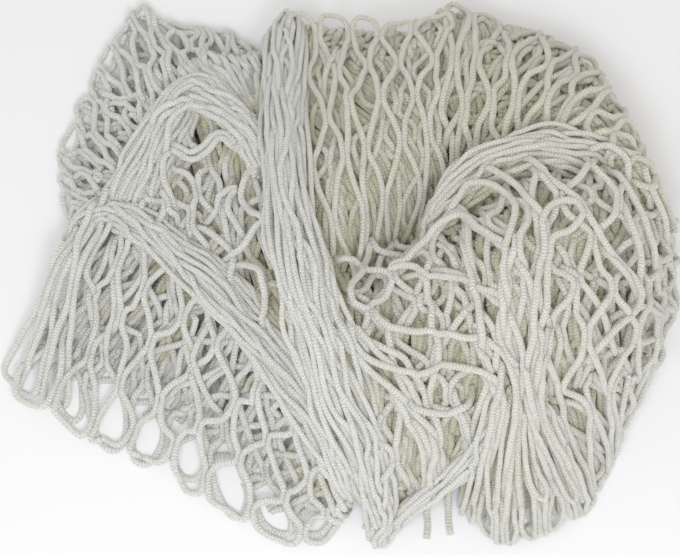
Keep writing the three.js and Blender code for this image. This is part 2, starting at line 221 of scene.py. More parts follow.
# Lays one layer of open netting on a spread. Neighbouring cords meet, run together and part again, so
# each cord swings between its two neighbours: its place across is its own line plus or minus half of
# what the mesh is open by, along a soft zigzag.
# start and end are shares of the way from fold to edge, turned swaps across and along, depth is how far
# the layer lies below its spread, a rim comes up to it near the edge, and skew leans the cords. Joinings
# stray by jitter, the bars between them by bow and the whole layer by wave, and ease rounds the zigzag.
# Groups draw cords together, sink lowers the ends, brim is spreadPoint's, and curl lifts the edge.
def layNet(piece, rows, cords, seed, start=-0.1, end=1.0, turned=False, depth=0.0, rim=False, skew=0.0,
           looped=True, loopReach=13.0, bar=cord["bar"], jitter=1.8, bow=2.0, wave=1.2, ease=0.6,
           groups=0, girth=1.0, sink=9.0, brim=0.0, curl=0.0):
    draw = np.random.default_rng(seed)

    def place(u, t):
        return spreadPoint(rows, t, u) if turned else spreadPoint(rows, u, t, brim)

    probe = np.linspace(start, end, 40)
    seven = np.linspace(0.1, 0.9, 7)[:, None]
    length = runLength(place(seven + 0 * probe, probe + 0 * seven)).mean()
    if looped:
        inside = (loopReach - netting["loopInside"]) / length
        end = end - inside * (end - start)
        length *= 1 - inside
    spacing = runLength(place(np.linspace(0, 1, 40), np.full(40, 0.5 * (start + end)))) / cords
    meshes, along, mesh, swing = joiningsAlong(length, spacing, bar, ease)

    # each cord's own line, and the swing to either side of it
    i = np.arange(cords)[:, None]
    side = np.where((i + meshes - np.arange(meshes + 1)) % 2 == 1, 1.0, -1.0)
    t = start + (end - start) * along / meshes + 0 * i
    u0 = (i + 0.5) / cords + 0 * t
    aside = 0.02
    apart = place(np.clip(u0 + aside, 0, 1), t) - place(np.clip(u0 - aside, 0, 1), t)
    width = np.linalg.norm(apart, axis=-1) / (2 * aside)
    room = np.maximum(0.5 / cords - 0.5 * cord["joinGap"] / np.maximum(width, 1), 0)
    u = u0 + side[:, mesh] * (1 - 2 * swing) * room
    held = (side[:, np.round(along).astype(int)] > 0) & (np.minimum(swing, 1 - swing) <= 0)

    # joinings are moved a little, both cords alike, and each stretch between is bowed
    node = draw.normal(size=(cords + 1, meshes + 2, 3)) * jitter
    moved = node[i + (side > 0), np.arange(meshes + 1)]
    blend = swing[None, :, None]
    shift = moved[:, mesh] * (1 - blend) + moved[:, mesh + 1] * blend
    arc = draw.normal(size=(cords, meshes, 3)) * bow
    shift += arc[:, mesh] * (np.sin(np.pi * swing) ** 2)[None, :, None]
    if looped:
        steps = int(netting["loopSteps"] * (loopReach + spacing) / cord["step"])
        steps = max(steps, netting["leastSteps"])
        apex = u0[:, -1:] - side[:, -1:] * 0.5 / cords
        apexMove = node[i[:, 0] + (side[:, -1] < 0), -1][:, None]
        reach = loopReach / length * (end - start)
        u, t, shift = addHalfLoops(u, t, shift, apex, apexMove, reach, steps)
        held = np.concatenate([held, np.zeros((cords, steps), bool)], 1)
    if groups:
        u = u - netting["bunching"] * np.sin(2 * np.pi * groups * u) / (2 * np.pi * groups)
    u = u + skew * (t - 0.5 * (start + end))

    # square to the spread, and upwards
    little = 0.01
    across = place(np.clip(u, 0, 1) + little, t) - place(np.clip(u, 0, 1) - little, t)
    normals = unit(np.cross(across, place(u, t + little) - place(u, t - little)))
    normals *= np.where(normals[..., 2:] < 0, -1, 1)

    # the layer sinks below its fold at the start, where it ends without loops, and past both sides
    past = np.maximum(np.abs(u - 0.5) - 0.5, 0) * spacing * cords
    under = fade((t - max(start, 0)) * length / netting["startFade"] / (end - start))
    if not looped:
        under += fade((end - t) * length / netting["endFade"] / (end - start))
    rimFrom, rimOver, rimBy = netting["rimRise"]
    below = depth * (1 - rimBy * np.clip((t - rimFrom) / rimOver, 0, 1)) if rim else depth + 0 * t
    slack = netting["sideSlack"]
    points = place(np.clip(u, -slack, 1 + slack), t) - normals * below[..., None]
    curlFrom, curlOver = netting["curlRise"]
    points[..., 2] += curl * np.clip((t - curlFrom) / curlOver, 0, 1) ** 2 - sink * under - past

    heapHeight, heapLength, heapSeed = netting["heapWave"]
    points += (shift + wave * smoothNoise(points, seed + 50, netting["ownLength"])
               + heapHeight * smoothNoise(points, heapSeed, heapLength))
    fineHeight, fineLength = netting["fineWave"]
    points += fineHeight * smoothNoise(points, seed + 60, fineLength)
    keep = (past < netting["sideFall"]) & (np.abs(u - 0.5) < 0.5 + slack)
    lay(piece, points, normals, keep if looped else longRuns(keep), held, looped, girth)


bundle = {
    "period": (60, 140),  # length in which a cord drifts across the band and back
    "upDown": 0.6,  # drift up and down, as a share of the drift across
    "narrowing": 0.12,  # of each row against the top one, for each row below it
    "rowDrop": 0.9,  # from one row to the next, in cords
    "crown": 0.3,  # drop from the middle of the band to its sides, as a share of its thickness
    "roundness": 0.8,  # how much a cord at the side faces sideways
    "endFade": 20,  # over which both ends sink
}


# Lays a band: cords side by side on the upper side of its section, which falls by the square of the
# distance from its middle, with rows below them. Each cord drifts across and up and down along two sine
# waves, so that it crosses its neighbours. Sinks lower the two ends, and point draws them together.
def layBand(piece, rows, thick, across, deep, seed, drift=2.6, start=0.0, end=1.0, sinks=(7, 7),
            point=(0, 0), girth=0.8):
    draw = np.random.default_rng(seed)
    wide = cord["diameter"] * girth
    length = runLength(smoothRows(rows, np.linspace(0, 1, 200))[:, :3])
    share = np.linspace(start, end, int(length * (end - start) / cord["step"]) + 1)
    row = smoothRows(rows, share)
    centre, width = row[:, :3], row[:, 3]
    along = unit(np.gradient(centre, axis=0))
    sideways = unit(np.cross([0, 0, 1.0], along))
    upward = np.cross(along, sideways)
    place = np.array([(k / max(across - 1 - d, 1) * 2 - 1, d)
                      for d in range(deep) for k in range(across - d)])
    aslant, depth = place[:, :1], place[:, 1:]
    distance = share * length
    phase = draw.uniform(0, 2 * np.pi, (len(place), 3, 1))
    period = draw.uniform(*bundle["period"], (len(place), 3, 1))
    sway = np.sin(2 * np.pi * distance / period + phase) * drift
    aside = aslant * 0.5 * np.maximum(width - wide, 2) * (1 - bundle["narrowing"] * depth) + sway[:, 0]
    down = (wide / 2 + depth * bundle["rowDrop"] * wide
            + bundle["crown"] * thick * aslant ** 2 + bundle["upDown"] * sway[:, 1])
    near = [fade(off * length / bundle["endFade"]) for off in (share - start, end - share)]
    down += sinks[0] * near[0] + sinks[1] * near[1]
    aside *= 1 - point[0] * near[0] - point[1] * near[1]
    points = centre + aside[..., None] * sideways - down[..., None] * upward
    normals = unit(upward + bundle["roundness"] * aslant[..., None] * sideways)
    lay(piece, points, normals, girth=girth)


routing = {
    "cell": 3,  # of the map of heights
    "gentle": 8,  # most that a slope to the sides lets a cord down
    "steep": 4,  # most slope along it that counts, twice over
    "smoothing": 3,  # times that its height is evened out
    "endFade": 1.5,  # length over which an end goes down, for each millimetre that it does
    "apart": (0.95, 0.2, 7),  # gap between two strands in cords, what it varies by, and how slowly
    "fineWave": (0.45, 15, 61),  # height, length and seed
    "longWave": (0.7, 45, 62),
}


# The map's lowest corner, and the highest point in each of its cells, of all that is laid and of the
# spreads' own surfaces.
def mapHeights(cell, samples=120, margin=12):
    share = np.linspace(0, 1, samples)
    forms = [spreadPoint(rows, share[:, None], share + 0 * share[:, None]).reshape(-1, 3)
             for rows in laid["forms"]]
    below = np.concatenate(laid["points"] + forms)
    low = below[:, :2].min(0) - margin
    top = np.zeros(((below[:, :2].max(0) - low) / cell).astype(int) + 8)
    at = ((below[:, :2] - low) / cell).astype(int)
    np.maximum.at(top, (at[:, 0], at[:, 1]), below[:, 2])
    return low, top


# The height of a cord over the map: the highest of the nine cells around each point, less what the slope
# across and along adds to it, evened out along the cord.
def heightOver(top, near):
    five = np.arange(-2, 3)
    around = top[near[:, 0, None, None] + five[:, None], near[:, 1, None, None] + five]
    leanX = np.abs(around[:, 4] - around[:, 0]).mean(1)
    leanY = np.abs(around[..., 4] - around[..., 0]).mean(1)
    lean = (leanX + leanY) / 4
    height = around[:, 1:4, 1:4].max((1, 2)) - np.minimum(lean, routing["gentle"])
    climb = np.abs(np.gradient(overFive(height, np.mean)))
    height = overFive(height, np.max) - 2 * np.minimum(climb, routing["steep"])
    for _ in range(routing["smoothing"]):
        height = overFive(height, np.mean)
    return height + 0.5 * cord["diameter"]


# Lays single cords over all that is laid, each along a smooth curve through its own x and y points. Both
# its ends dip among the others. With two strands they run side by side and part a little here and there.
def layOver(piece, routes, dip=9.0, strands=1, girth=1.0):
    cell = routing["cell"]
    low, top = mapHeights(cell)
    gap, gapWave, gapLength = routing["apart"]
    for route in routes:
        fine = smoothRows(route, np.linspace(0, 1, 40 * len(route)))
        run = np.concatenate([[0], np.cumsum(np.linalg.norm(np.diff(fine, axis=0), axis=1))])
        at = np.linspace(0, run[-1], max(int(run[-1] / cord["step"]), 4))
        middle = np.stack([np.interp(at, run, fine[:, k]) for k in (0, 1)], 1)
        square = unit(np.gradient(middle, axis=0))[:, ::-1] * (-1, 1)
        near = ((middle - low) / cell).astype(int)
        height = heightOver(top, near)
        height -= dip * fade(np.minimum(at, at[-1] - at) / (routing["endFade"] * dip))
        np.maximum.at(top, (near[:, 0], near[:, 1]), height)
        for side in np.arange(strands) - 0.5 * (strands - 1):
            apart = side * cord["diameter"] * (gap + gapWave * np.sin(at / gapLength + route[0][0]))
            points = np.column_stack([middle + square * apart[:, None], height])[None]
            points += sum(high * smoothNoise(points, seed, long)
                          for high, long, seed in (routing["fineWave"], routing["longWave"]))
            lay(piece, points, girth=girth, single=True)


# pairs of points nearer than reach, found by sorting the points into cells of that size
def nearPairs(points, reach):
    cell = np.floor((points - points.min(0)) / reach).astype(np.int64) + 1
    size = cell.max(0) + 2
    key = (cell[:, 0] * size[1] + cell[:, 1]) * size[2] + cell[:, 2]
    order = np.argsort(key, kind="stable")
    key = key[order]
    here = np.arange(len(key))
    found = []
    for dx, dy in ((0, 0), (0, 1), (1, -1), (1, 0), (1, 1)):
        shift = (dx * size[1] + dy) * size[2]
        low = here + 1 if shift == 0 else np.searchsorted(key, key + shift - 1, "left")
        high = np.searchsorted(key, key + shift + 1, "right")
        count = np.maximum(high - low, 0)
        a = np.repeat(here, count)
        b = np.arange(count.sum()) - np.repeat(np.cumsum(count) - count, count) + np.repeat(low, count)
        a, b = order[a], order[b]
        close = ((points[a] - points[b]) ** 2).sum(1) < reach ** 2
        found.append(np.stack([a[close], b[close]], 1))
    return np.concatenate(found)


# Joinings of single cords with what they cross: pairs of points where a single cord comes nearer to
# another cord than anywhere else within a window of steps. Where the two run much the same way, the
# points before and after are joined too.
def findCrossings(points, linked, single, reach=5.5, window=4, sameWay=0.5):
    count = len(points)
    strand = np.cumsum(np.concatenate([[0], ~linked[:-1]]))
    pairs = nearPairs(points, reach)
    pairs = np.concatenate([pairs, pairs[:, ::-1]])
    pairs = pairs[single[pairs[:, 0]] & (strand[pairs[:, 0]] != strand[pairs[:, 1]])]
    far = np.linalg.norm(points[pairs[:, 0]] - points[pairs[:, 1]], axis=1)
    pairs, far = pairs[np.argsort(far, kind="stable")], np.sort(far)
    first = np.unique(pairs[:, 0], return_index=True)[1]
    pairs, far = pairs[first], far[first]
    nearest = np.full(count + 2 * window, np.inf)
    nearest[pairs[:, 0] + window] = far
    least = np.min([nearest[pairs[:, 0] + k] for k in range(2 * window + 1)], axis=0)
    a, b = pairs[far <= least].T
    along = unit(points[np.minimum(np.arange(count) + 1, count - 1)] - points)
    alike = (along[a] * along[b]).sum(1)
    found = [np.stack([a, b], 1)]
    for k in (-1, 1):
        m, n = a + k, np.where(alike < 0, b - k, b + k)
        m, n = np.clip(m, 0, count - 1), np.clip(n, 0, count - 1)
        kept = (np.abs(alike) > sameWay) & (strand[m] == strand[a]) & (strand[n] == strand[b])
        found.append(np.stack([m, n], 1)[kept])
    return np.concatenate(found)


# adds up a move for each point, as the mean of the moves that its pairs ask for
def spreadMoves(count, a, b, move):
    hits = np.maximum(np.bincount(a, minlength=count) + np.bincount(b, minlength=count), 1)
    total = np.stack([np.bincount(b, move[:, k], count) - np.bincount(a, move[:, k], count)
                      for k in range(3)], 1)
    return total / hits[:, None]


settling = {
    "rounds": 60,
    "softness": 0.94,  # share of their width at which cords touch
    "push": 1.4,  # part of what two cords share that a round parts them by
    "join": 0.8,  # part of the way to their gap that a round brings two joined points
    "stiffness": 0.05,  # part of the way to its neighbours' middle that a point goes in a round
    "recall": 0.02,  # part of the way back to where it was laid
    "weight": 0.03,  # drop in a round
    "searchEvery": 6,  # rounds from one search for near points to the next
    "searchMargin": 2.0,
    "ownReach": 5,  # steps along its own cord within which a point is no neighbour
    "joinReach": 3,  # steps from a joining within which two cords may be close
    "floorRoom": 0.45,  # of a cord's middle over the floor, in its widths
}


# Pushes apart cords that lie in each other, with each cord's length, its stiffness and its joinings
# kept, its weight pulling down, and a soft pull back to where it was laid. Each round moves two points
# that are nearer than half of both widths by a part of what is missing, each by half.
def settle(points, linked, joined, girth):
    home = points.copy()
    count = len(points)
    lower = np.nonzero(linked)[0]
    halves = [lower[lower % 2 == 0], lower[lower % 2 == 1]]
    rests = [np.linalg.norm(points[h + 1] - points[h], axis=1) for h in halves]
    inner = lower[1:][np.diff(lower) == 1]
    strand = np.cumsum(np.concatenate([[0], ~linked[:-1]]))
    offsets = range(-settling["joinReach"], settling["joinReach"] + 1)
    beside = np.sort(np.concatenate([joined + (m, n) for m in offsets for n in offsets]), 1)
    besideKey = np.unique(beside[:, 0] * count + beside[:, 1])
    room = 0.5 * settling["softness"] * cord["diameter"] * girth
    for turn in range(settling["rounds"]):
        if turn % settling["searchEvery"] == 0:
            pairs = nearPairs(points, 2 * room.max() + settling["searchMargin"])
            steps = np.abs(pairs[:, 0] - pairs[:, 1])
            same = (strand[pairs[:, 0]] == strand[pairs[:, 1]]) & (steps < settling["ownReach"])
            pairs = np.sort(pairs[~same], 1)
            pairs = pairs[~np.isin(pairs[:, 0] * count + pairs[:, 1], besideKey)]
        a, b = pairs[:, 0], pairs[:, 1]
        apart = points[b] - points[a]
        far = np.linalg.norm(apart, axis=1)
        gap = room[a] + room[b]
        hit = far < gap
        a, b, apart, far, gap = a[hit], b[hit], apart[hit], np.maximum(far[hit], 1e-6), gap[hit]
        move = apart * (0.5 * (gap - far) / far)[:, None]
        points += settling["push"] * spreadMoves(count, a, b, move)
        a, b = joined[:, 0], joined[:, 1]
        apart = points[b] - points[a]
        far = np.maximum(np.linalg.norm(apart, axis=1), 1e-6)
        move = apart * (0.5 * (cord["joinGap"] - far) / far)[:, None]
        points += settling["join"] * spreadMoves(count, a, b, move)
        middle = 0.5 * (points[inner - 1] + points[inner + 1])
        points[inner] += settling["stiffness"] * (middle - points[inner])
        for half, rest in zip(halves, rests):
            apart = points[half + 1] - points[half]
            far = np.maximum(np.linalg.norm(apart, axis=1), 1e-6)
            move = apart * (0.5 * (far - rest) / far)[:, None]
            points[half] += move
            points[half + 1] -= move
        points += settling["recall"] * (home - points)
        points[:, 2] -= settling["weight"]
        points[:, 2] = np.maximum(points[:, 2], cord["diameter"] * settling["floorRoom"] * girth)
    print(f"settled {count} points, {len(joined)} joinings, {hit.sum()} contacts left")
    return points


# how far each reach lies below the mean of the farthest reaches in the cells around it
def depthWithin(place, reach, cellSize=4):
    cell = ((place - place.min(0)) / cellSize).astype(int) + 2
    far = np.zeros(cell.max(0) + 3)
    np.maximum.at(far, (cell[:, 0], cell[:, 1]), reach)
    a, b = cell.T
    around = [far[a + m, b + n] for m in range(-2, 3) for n in range(-2, 3)]
    return np.mean(around, axis=0) - reach


# How deep each point lies in the heap: its depth from above or from the side, whichever is less. From
# the side, places are an angle round the middle, times the heap's radius, and a height.
def depthInHeap(points, radius=150):
    x, y, z = points.T
    around = np.stack([np.arctan2(y, x) * radius, z], 1)
    return np.minimum(depthWithin(points[:, :2], z), depthWithin(around, np.hypot(x, y)))


# Tubes along the cords of one piece. A ring of points lies around every point of a cord, in the plane
# square to its run: an ellipse that is wide across the surface and thin along its normal. It turns
# about the cord's line by a sine wave of the length run. Both ends are closed by a flat face.
def tubeMesh(name, points, normals, linked, deep, girth, seed):
    sides = cord["sides"]
    count = len(points)
    begins = np.concatenate([[True], ~linked[:-1]])
    ahead = points[np.minimum(np.arange(count) + linked, count - 1)]
    behind = points[np.arange(count) - (~begins)]
    along = unit(ahead - behind)
    out = unit(normals - (normals * along).sum(1, keepdims=True) * along)
    across = np.cross(along, out)
    strand = np.cumsum(begins) - 1
    draw = np.random.default_rng(seed)
    run = np.concatenate([[0], np.cumsum(np.linalg.norm(np.diff(points, axis=0), axis=1))])
    firstOf = np.nonzero(begins)[0]
    run -= run[firstOf][strand]
    turnAt = draw.uniform(0, 2 * np.pi, len(firstOf))[strand]
    twist = cord["twist"] * np.sin(run / draw.uniform(*cord["twistRate"], len(firstOf))[strand] + turnAt)
    angle = np.arange(sides) * 2 * np.pi / sides + twist[:, None]
    half = 0.5 * cord["diameter"] * girth[:, None]
    ring = (points[:, None] + (np.cos(angle) * half)[..., None] * across[:, None]
            + (np.sin(angle) * half * cord["flatness"])[..., None] * out[:, None])

    lower = np.nonzero(linked)[0]
    k = np.arange(sides)
    here, there = lower[:, None] * sides, (lower[:, None] + 1) * sides
    nextK = (k + 1) % sides
    quads = np.stack([here + k, here + nextK, there + nextK, there + k], -1).reshape(-1, 4)
    ends = np.nonzero(~linked)[0]
    capStart = firstOf[:, None] * sides + k[::-1]
    capEnd = ends[:, None] * sides + k
    loops = np.concatenate([quads.ravel(), capStart.ravel(), capEnd.ravel()])
    sizes = np.concatenate([np.full(len(quads), 4), np.full(len(firstOf) + len(ends), sides)])
    mesh = bpy.data.meshes.new(name)
    mesh.vertices.add(count * sides)
    mesh.vertices.foreach_set("co", (ring.reshape(-1) * mm).astype(np.float32))
    mesh.loops.add(len(loops))
    mesh.loops.foreach_set("vertex_index", loops.astype(np.int32))
    mesh.polygons.add(len(sizes))
    mesh.polygons.foreach_set("loop_start", (np.cumsum(sizes) - sizes).astype(np.int32))
    mesh.polygons.foreach_set("use_smooth", np.ones(len(sizes), bool))

    # u runs once round the cord and v counts millimetres along it
    uQuad = np.stack([k / sides, (k + 1) / sides, (k + 1) / sides, k / sides], -1)
    uQuad = np.broadcast_to(uQuad, (len(lower), sides, 4)).reshape(-1)
    vQuad = np.stack([run[lower], run[lower], run[lower + 1], run[lower + 1]], -1)
    vQuad = np.repeat(vQuad[:, None], sides, 1).reshape(-1)
    capU = np.tile(k / sides, len(firstOf) + len(ends))
    capV = np.repeat(np.concatenate([run[firstOf], run[ends]]), sides)
    uv = np.stack([np.concatenate([uQuad, capU]), np.concatenate([vQuad, capV])], -1)
    mesh.uv_layers.new(name="cordMap").data.foreach_set("uv", uv.reshape(-1).astype(np.float32))
    # each point's depth in the heap, which the material turns into painted shade
    depth = mesh.attributes.new("depth", "FLOAT", "POINT")
    depth.data.foreach_set("value", np.repeat(deep, sides).astype(np.float32))
    mesh.update(calc_edges=True)
    mesh.validate()
    piece = bpy.data.objects.new(name, mesh)
    bpy.context.scene.collection.objects.link(piece)
    print(f"{name}: {len(firstOf)} cords, {run[ends].sum() * mm:.1f} m, {len(sizes)} faces, "
          f"{2 * len(quads) + (sides - 2) * 2 * len(ends)} triangles")
    return piece


# from the sRGB value of each channel to its linear value, by the sRGB curve
def hexColour(text):
    value = [int(text[i:i + 2], 16) / 255 for i in (1, 3, 5)]
    return [v / 12.92 if v <= 0.04045 else ((v + 0.055) / 1.055) ** 2.4 for v in value] + [1]


# adds a node, sets its properties, and fills its inputs with sockets or plain values
def addNode(tree, kind, properties, inputs):
    node = tree.nodes.new(kind)
    for name, value in properties.items():
        setattr(node, name, value)
    for key, value in inputs.items():
        if isinstance(value, bpy.types.NodeSocket):
            tree.links.new(value, node.inputs[key])
        else:
            node.inputs[key].default_value = value
    return node.outputs


# Knitted polyester cord: textured yarn in small stitches, so it is matt with a faint bloom and shows
# close ribs across the cord.
# Its colour holds painted shade in the rib grooves and deep in the heap, and painted glints on the yarn.
knittedPolyester = {
    "light": "#e9e9e3",
    # the shade colour is painted shade in the grooves between the ribs
    "shade": "#b1b2a8",
    "lightDeep": "#c5c19c",  # painted shade, with shadeDeep: colours deep in the heap, where light reaches only by way of other cords
    "shadeDeep": "#9f9b74",
    "deepFrom": (0.5, 10.0),  # mm below the highest cord, where the painted shade of the deep colours starts and is whole
    "roughness": 0.6,
    "bloom": (0.5, 0.5),  # weight and roughness of the sheen
    "letsThrough": 0.7,  # share of the light that goes into the yarn
    "lightSpread": (1.0, 1.0, 0.9),  # of red, green and blue in it
    "depthOfLight": 6.0,  # mm
    "ribPitch": 1.9,  # mm, drawn a little coarser than the knit so that it shows
    "ribHeight": 0.8,  # mm
    "ribEdges": (-0.8, 0.7),  # heights of a rib's wave that count as its foot and its top
    "wales": 4,  # columns of stitches round the cord
    "slip": (8.333, 1.2),  # ribs stray over this many mm, by this many ribs
    "wear": (3.030, 0.36, 0.62, 0.25),  # mm of a patch, the noise at its two edges, and the ribs left in it
    "mottle": (11.11, 0.5),  # mm and strength of uneven colour
    "yarnGrainAndGlints": (1.613, 1.0, 0.8),  # mm, colour and height of the yarn's grain, whose bright specks in the colour are painted glints; coarser so that it shows
    "tone": -0.56,  # added to make the mean share of the light colour right
}


def makeKnittedPolyester():
    look = knittedPolyester
    slipSize, slipBy = look["slip"]
    wearSize, wearFrom, wearTo, wearLeft = look["wear"]
    mottleSize, mottleBy = look["mottle"]
    yarnSize, paintedGlints, yarnHeight = look["yarnGrainAndGlints"]
    material = bpy.data.materials.new("knittedPolyester")
    material.use_nodes = True
    tree = material.node_tree
    shader = tree.nodes["Principled BSDF"].inputs
    shader["Roughness"].default_value = look["roughness"]
    shader["Subsurface Weight"].default_value = look["letsThrough"]
    shader["Subsurface Radius"].default_value = look["lightSpread"]
    shader["Subsurface Scale"].default_value = look["depthOfLight"] * mm
    shader["Sheen Weight"].default_value, shader["Sheen Roughness"].default_value = look["bloom"]
    place = addNode(tree, "ShaderNodeTexCoord", {}, {})
    slip, worn, mottle, grainAndGlints = (
        addNode(tree, "ShaderNodeTexNoise", {},
                {"Vector": place["Object"], "Scale": 1 / (size * mm), "Detail": detail})
        for size, detail in ((slipSize, 1.0), (wearSize, 1.0), (mottleSize, 3.0), (yarnSize, 1.0)))

    # a stitch leans one way on one side of its column and the other way on the other side
    split = addNode(tree, "ShaderNodeSeparateXYZ", {}, {0: place["UV"]})
    column = addNode(tree, "ShaderNodeMath", {"operation": "PINGPONG"},
                     {0: split["X"], 1: 0.5 / look["wales"]})
    lean = addNode(tree, "ShaderNodeMath", {"operation": "MULTIPLY"}, {0: column[0], 1: look["wales"]})
    beat = addNode(tree, "ShaderNodeMath", {"operation": "DIVIDE"}, {0: split["Y"], 1: look["ribPitch"]})
    strayed = addNode(tree, "ShaderNodeMath", {"operation": "MULTIPLY_ADD"},
                      {0: slip[0], 1: slipBy, 2: beat[0]})
    turn = addNode(tree, "ShaderNodeMath", {"operation": "ADD"}, {0: strayed[0], 1: lean[0]})
    angle = addNode(tree, "ShaderNodeMath", {"operation": "MULTIPLY"}, {0: turn[0], 1: 2 * math.pi})
    rib = addNode(tree, "ShaderNodeMath", {"operation": "SINE"}, {0: angle[0]})
    ribFoot, ribTop = look["ribEdges"]
    stitch = addNode(tree, "ShaderNodeMapRange", {}, {0: rib[0], 1: ribFoot, 2: ribTop})
    patch = addNode(tree, "ShaderNodeMapRange", {},
                    {0: worn[0], 1: wearFrom, 2: wearTo, 3: wearLeft, 4: 1.0})
    relief = addNode(tree, "ShaderNodeMath", {"operation": "MULTIPLY"}, {0: stitch[0], 1: patch[0]})

    # the relief gives the rib grooves painted shade; mottle in large and painted glints in small make it
    # uneven
    tone = addNode(tree, "ShaderNodeMath", {"operation": "MULTIPLY_ADD"},
                   {0: mottle[0], 1: mottleBy, 2: look["tone"]})
    uneven = addNode(tree, "ShaderNodeMath", {"operation": "MULTIPLY_ADD"},
                     {0: grainAndGlints[0], 1: paintedGlints, 2: tone[0]})
    share = addNode(tree, "ShaderNodeMath", {"operation": "ADD", "use_clamp": True},
                    {0: relief[0], 1: uneven[0]})
    # painted shade: each colour goes over to its deep one as the point lies deeper in the heap
    depth = addNode(tree, "ShaderNodeAttribute", {"attribute_name": "depth"}, {})
    low = addNode(tree, "ShaderNodeMapRange", {},
                  {0: depth["Fac"], 1: look["deepFrom"][0], 2: look["deepFrom"][1]})
    shade, light = (addNode(tree, "ShaderNodeMix", {"data_type": "RGBA"},
                            {0: low[0], 6: hexColour(look[name]), 7: hexColour(look[name + "Deep"])})
                    for name in ("shade", "light"))
    colour = addNode(tree, "ShaderNodeMix", {"data_type": "RGBA"}, {0: share[0], 6: shade[2], 7: light[2]})
    height = addNode(tree, "ShaderNodeMath", {"operation": "MULTIPLY_ADD"},
                     {0: grainAndGlints[0], 1: yarnHeight, 2: relief[0]})
    bump = addNode(tree, "ShaderNodeBump", {}, {"Distance": look["ribHeight"] * mm, "Height": height[0]})
    tree.links.new(colour[2], shader["Base Color"])
    tree.links.new(bump[0], shader["Normal"])
    return material


# lays the bands and then the layers of netting of one piece
def layPiece(name, piece):
    pieces[name] = piece
    laid["forms"] += piece.get("spreads", {}).values()
    for band in piece.get("bands", []):
        layBand(name, **band)
    for net in piece.get("nets", []):
        options = dict(net)
        layNet(name, piece["spreads"][options.pop("on")], **options)
    print(f"{name}: laid")


# In each piece's dictionary a band's rows give x, y and z of the middle of its top, and its width. A
# spread's rows give where each way across it starts, where it ends, and its rise above a straight line.

# the two arches of gathered cords on the left, and the cords that fan out behind them
leftArches = {
    "flat": (0.60, 0.43),  # width and length of netting in it, in metres
    "area": 0.093,  # of the yarn alone, without the openings, in square metres
    "paintedShadeOffset": -1.5,  # mm added to its depth for the painted shade, as if it lay deeper, or less deep
    "bands": [
        {"thick": 17, "across": 10, "deep": 4, "seed": 11, "start": 0.2, "end": 0.97, "rows": [
            (-196, -64, 10, 16), (-178, -25, 17, 16), (-162, 13, 28, 17), (-144, 26, 38, 18),
            (-114, 8, 50, 20), (-82, -24, 62, 25), (-52, -59, 72, 29), (-23, -96, 74, 31),
            (3, -131, 58, 32), (23, -164, 24, 26)]},
        {"thick": 17, "across": 12, "deep": 3, "seed": 12, "sinks": (14, 7), "rows": [
            (-134, 14, 38, 35), (-123, 40, 48, 35), (-110, 71, 54, 31), (-94, 95, 60, 21),
            (-78, 90, 66, 13), (-61, 71, 74, 12), (-44, 39, 84, 14)]},
    ],
    "spreads": {
        "cornerFan": [
            (-166, 6, 34, -204, -66, 5, 4), (-158, 16, 38, -192, -82, 4, 4),
            (-148, 22, 40, -166, -88, 4, 2)],
    },
    "nets": [
        {"on": "cornerFan", "cords": 6, "seed": 15, "start": -0.2, "bar": 60, "jitter": 1},
    ],
}
layPiece("leftArches", leftArches)

# the bright bundle from back to front, and the short one that crosses the front
middleBands = {
    "flat": (0.60, 0.64),
    "area": 0.138,
    "paintedShadeOffset": 1.0,
    "bands": [
        {"thick": 36, "across": 11, "deep": 5, "seed": 13, "sinks": (4, 0), "point": (0, 0.7), "rows": [
            (-33, 168, 20, 24), (-33, 158, 42, 28), (-34, 110, 70, 29), (-33, 50, 96, 28),
            (-30, -3, 112, 30), (-20, -46, 120, 35), (-10, -83, 116, 37), (3, -113, 98, 38),
            (16, -137, 68, 36), (23, -159, 32, 28), (23, -178, 9, 12)]},
        {"thick": 20, "across": 8, "deep": 4, "seed": 19, "rows": [
            (-34, 70, 74, 22), (-31, 20, 90, 24), (-27, -20, 98, 26), (-18, -50, 102, 28),
            (-8, -86, 98, 28), (4, -116, 78, 26)]},
        {"thick": 14, "across": 6, "deep": 2, "seed": 14, "sinks": (6, 0), "point": (0.7, 0), "rows": [
            (24, -166, 16, 14), (40, -157, 29, 14), (60, -148, 46, 14), (74, -136, 62, 15),
            (83, -121, 77, 16), (93, -104, 89, 14)]},
    ],
}
layPiece("middleBands", middleBands)

